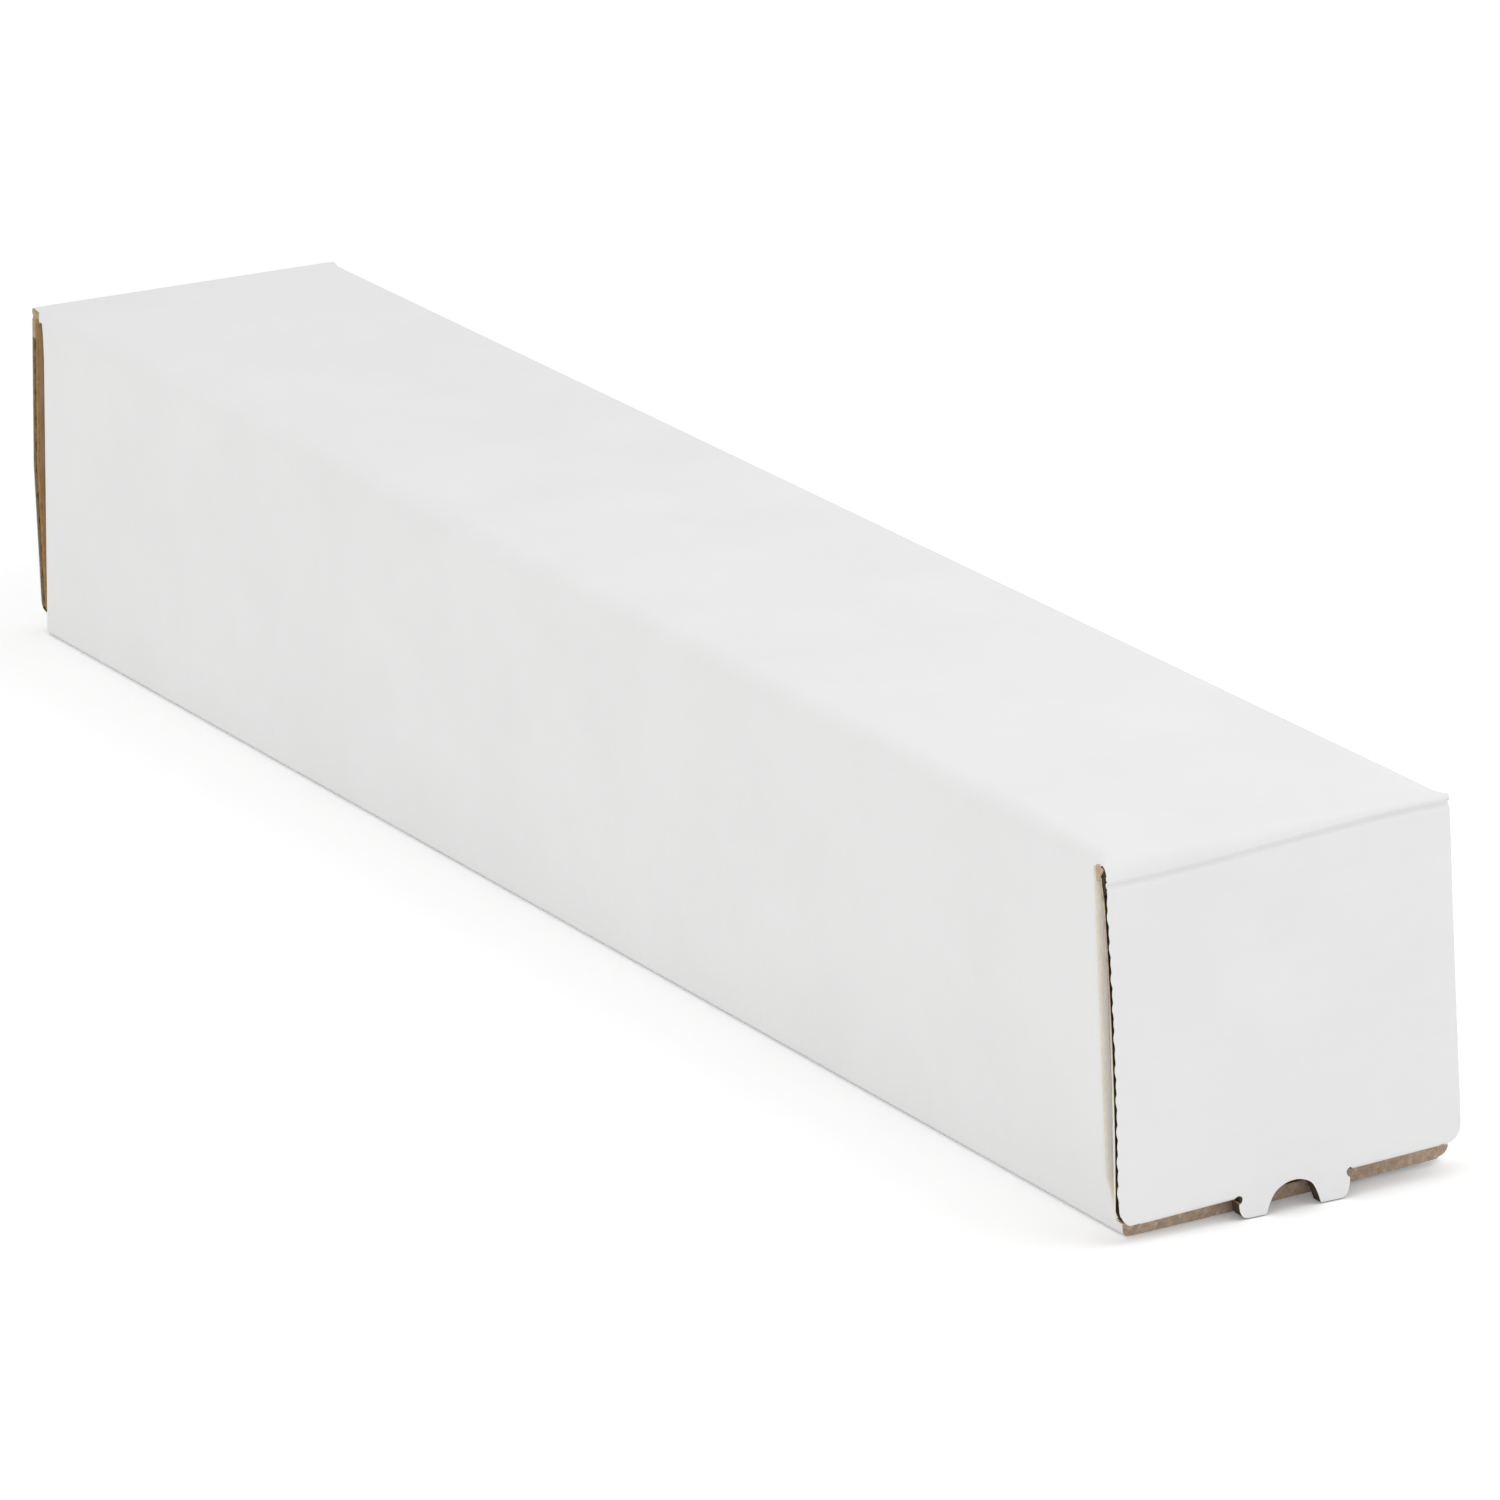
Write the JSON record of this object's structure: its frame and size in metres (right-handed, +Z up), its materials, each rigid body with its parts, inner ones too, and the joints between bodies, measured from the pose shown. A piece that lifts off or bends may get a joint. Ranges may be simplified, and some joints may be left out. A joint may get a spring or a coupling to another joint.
{
  "type": "square mailing tube",
  "caption": "Long square-section shipping carton in white-faced corrugated board, with a hinged tuck-in closure and lock tab at each end.",
  "frame": {"origin": "centre of the outer bottom face, halfway along the tube", "axes": "+X along the tube towards one closure, +Z up, out of the panel that the closures are hinged on; +Y completes the frame"},
  "size_m": [0.5228, 0.0822, 0.0822],
  "materials": {
    "board": "matte white liner outside, brown kraft flutes and inner liner"
  },
  "bodies": {
    "sleeve": {"folded_sleeve": "board"},
    "near_flap": {"near_end_flap": "board"},
    "far_flap": {"far_end_flap": "board"}
  },
  "joints": [
    {"name": "near_flap_hinge", "type": "hinge", "parent": "sleeve", "child": "near_flap", "pos_m": [0.2614, 0, 0.0822], "axis": [0, -1, 0], "range_deg": [0, 180]},
    {"name": "far_flap_hinge", "type": "hinge", "parent": "sleeve", "child": "far_flap", "pos_m": [-0.2614, 0, 0.0822], "axis": [0, 1, 0], "range_deg": [0, 180]}
  ]
}
